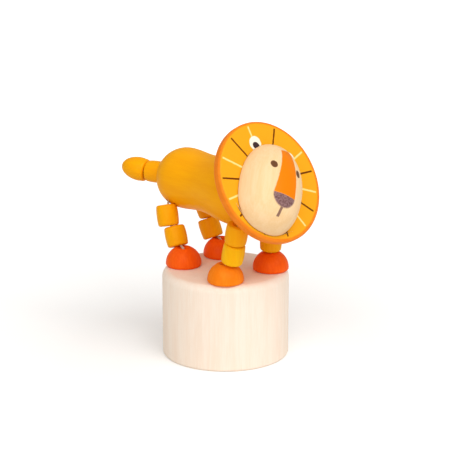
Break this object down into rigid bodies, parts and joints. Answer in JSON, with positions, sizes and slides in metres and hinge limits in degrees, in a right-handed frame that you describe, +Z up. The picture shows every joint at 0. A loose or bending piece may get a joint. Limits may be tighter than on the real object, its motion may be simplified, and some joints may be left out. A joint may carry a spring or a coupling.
{
  "type": "push puppet",
  "caption": "Wooden push puppet: a bead-legged lion on a hollow drum, strung on cords that a sprung button in the drum keeps taut.",
  "frame": {"origin": "centre of the drum's foot, on the surface that it stands on", "axes": "+X the lion's forward, +Y the lion's left, +Z up"},
  "size_m": [0.0945, 0.05, 0.0954],
  "materials": {
    "pale_wood": "clear satin lacquer",
    "amber_lacquer": "satin stain and lacquer",
    "orange_lacquer": "satin stain and lacquer",
    "red_lacquer": "satin stain and lacquer",
    "face_wood": "clear satin lacquer",
    "cotton_cord": "matt",
    "spring_steel": "bright"
  },
  "bodies": {
    "base": {"drum": "pale_wood", "front_right_foot": "red_lacquer", "front_left_foot": "red_lacquer", "rear_right_foot": "red_lacquer", "rear_left_foot": "red_lacquer", "return_spring": "spring_steel", "front_cord": "cotton_cord", "rear_cord": "cotton_cord"},
    "button": {"push_button": "pale_wood"},
    "front_right_lower": {"front_right_lower_leg": "amber_lacquer"},
    "front_right_upper": {"front_right_upper_leg": "amber_lacquer"},
    "front_left_lower": {"front_left_lower_leg": "amber_lacquer"},
    "front_left_upper": {"front_left_upper_leg": "amber_lacquer"},
    "rear_right_lower": {"rear_right_lower_leg": "amber_lacquer"},
    "rear_right_upper": {"rear_right_upper_leg": "amber_lacquer"},
    "rear_left_lower": {"rear_left_lower_leg": "amber_lacquer"},
    "rear_left_upper": {"rear_left_upper_leg": "amber_lacquer"},
    "torso": {"body": "amber_lacquer"},
    "head": {"mane": "orange_lacquer", "face": "face_wood"},
    "tail_root": {"tail_root": "amber_lacquer"},
    "tail_tip": {"tail_tip": "amber_lacquer"}
  },
  "joints": [
    {"name": "button_push", "type": "slide", "parent": "base", "child": "button", "axis": [0, 0, 1], "range_m": [0, 0.006], "stiffness_N_per_m": 60, "springref_m": -0.004, "deforming": ["return_spring", "front_cord", "rear_cord"]},
    {"name": "front_right_ankle", "type": "hinge", "parent": "base", "child": "front_right_lower", "pos_m": [0.0133, -0.01195, 0.0354], "axis": [0, 1, 0], "range_deg": [0, 24.06]},
    {"name": "front_left_ankle", "type": "hinge", "parent": "base", "child": "front_left_lower", "pos_m": [0.0133, 0.01195, 0.0354], "axis": [0, 1, 0], "range_deg": [0, 19.72]},
    {"name": "rear_right_ankle", "type": "hinge", "parent": "base", "child": "rear_right_lower", "pos_m": [-0.0138, -0.0099, 0.0354], "axis": [0, 1, 0], "range_deg": [0, 16], "stiffness_Nm_per_rad": 0.31, "springref_deg": -1.11},
    {"name": "rear_left_ankle", "type": "hinge", "parent": "base", "child": "rear_left_lower", "pos_m": [-0.0138, 0.0099, 0.0354], "axis": [0, 1, 0], "range_deg": [0, 16]},
    {"name": "front_right_knee", "type": "hinge", "parent": "front_right_lower", "child": "front_right_upper", "pos_m": [0.01488, -0.01195, 0.05161], "axis": [0, 1, 0], "range_deg": [-4.84, 0]},
    {"name": "front_left_knee", "type": "hinge", "parent": "front_left_lower", "child": "front_left_upper", "pos_m": [0.01862, 0.01195, 0.0504], "axis": [0, 1, 0], "range_deg": [0, 8.68]},
    {"name": "rear_right_knee", "type": "hinge", "parent": "rear_right_lower", "child": "rear_right_upper", "pos_m": [-0.01922, -0.01075, 0.05089], "axis": [0, 1, 0], "range_deg": [0, 18.01], "stiffness_Nm_per_rad": 0.28, "springref_deg": -1.55},
    {"name": "rear_left_knee", "type": "hinge", "parent": "rear_left_lower", "child": "rear_left_upper", "pos_m": [-0.01922, 0.01075, 0.05089], "axis": [0, 1, 0], "range_deg": [0, 18.01]},
    {"name": "rear_right_hip", "type": "hinge", "parent": "rear_right_upper", "child": "torso", "pos_m": [-0.02406, -0.00966, 0.05669], "axis": [0, 1, 0], "range_deg": [-26.01, 0], "stiffness_Nm_per_rad": 0.33, "springref_deg": -1.23},
    {"name": "neck_nod", "type": "hinge", "parent": "torso", "child": "head", "pos_m": [0.0306, 0, 0.0573], "axis": [0, 1, 0], "range_deg": [0, 10.01], "stiffness_Nm_per_rad": 0.042, "springref_deg": 0.36},
    {"name": "tail_root_droop", "type": "hinge", "parent": "torso", "child": "tail_root", "pos_m": [-0.0371, -0.00077, 0.06368], "axis": [0.3746, -0.9272, 0], "range_deg": [0, 18.01], "stiffness_Nm_per_rad": 0.0016, "springref_deg": -1.51},
    {"name": "tail_tip_droop", "type": "hinge", "parent": "tail_root", "child": "tail_tip", "pos_m": [-0.04466, -0.00382, 0.06368], "axis": [0.3746, -0.9272, 0], "range_deg": [0, 22], "stiffness_Nm_per_rad": 0.00043, "springref_deg": -1.54}
  ],
  "couplings": [
    {"joint": "front_right_ankle", "follows": "button_push", "rad_per_m": 69.963},
    {"joint": "front_left_ankle", "follows": "button_push", "rad_per_m": 57.35},
    {"joint": "rear_right_ankle", "follows": "button_push", "rad_per_m": 46.542},
    {"joint": "rear_left_ankle", "follows": "button_push", "rad_per_m": 46.542},
    {"joint": "front_right_knee", "follows": "button_push", "rad_per_m": -14.053},
    {"joint": "front_left_knee", "follows": "button_push", "rad_per_m": 25.229},
    {"joint": "rear_right_knee", "follows": "button_push", "rad_per_m": 52.36},
    {"joint": "rear_left_knee", "follows": "button_push", "rad_per_m": 52.36},
    {"joint": "rear_right_hip", "follows": "button_push", "rad_per_m": -75.631},
    {"joint": "neck_nod", "follows": "button_push", "rad_per_m": 29.089},
    {"joint": "tail_root_droop", "follows": "button_push", "rad_per_m": 52.36},
    {"joint": "tail_tip_droop", "follows": "button_push", "rad_per_m": 63.995}
  ]
}
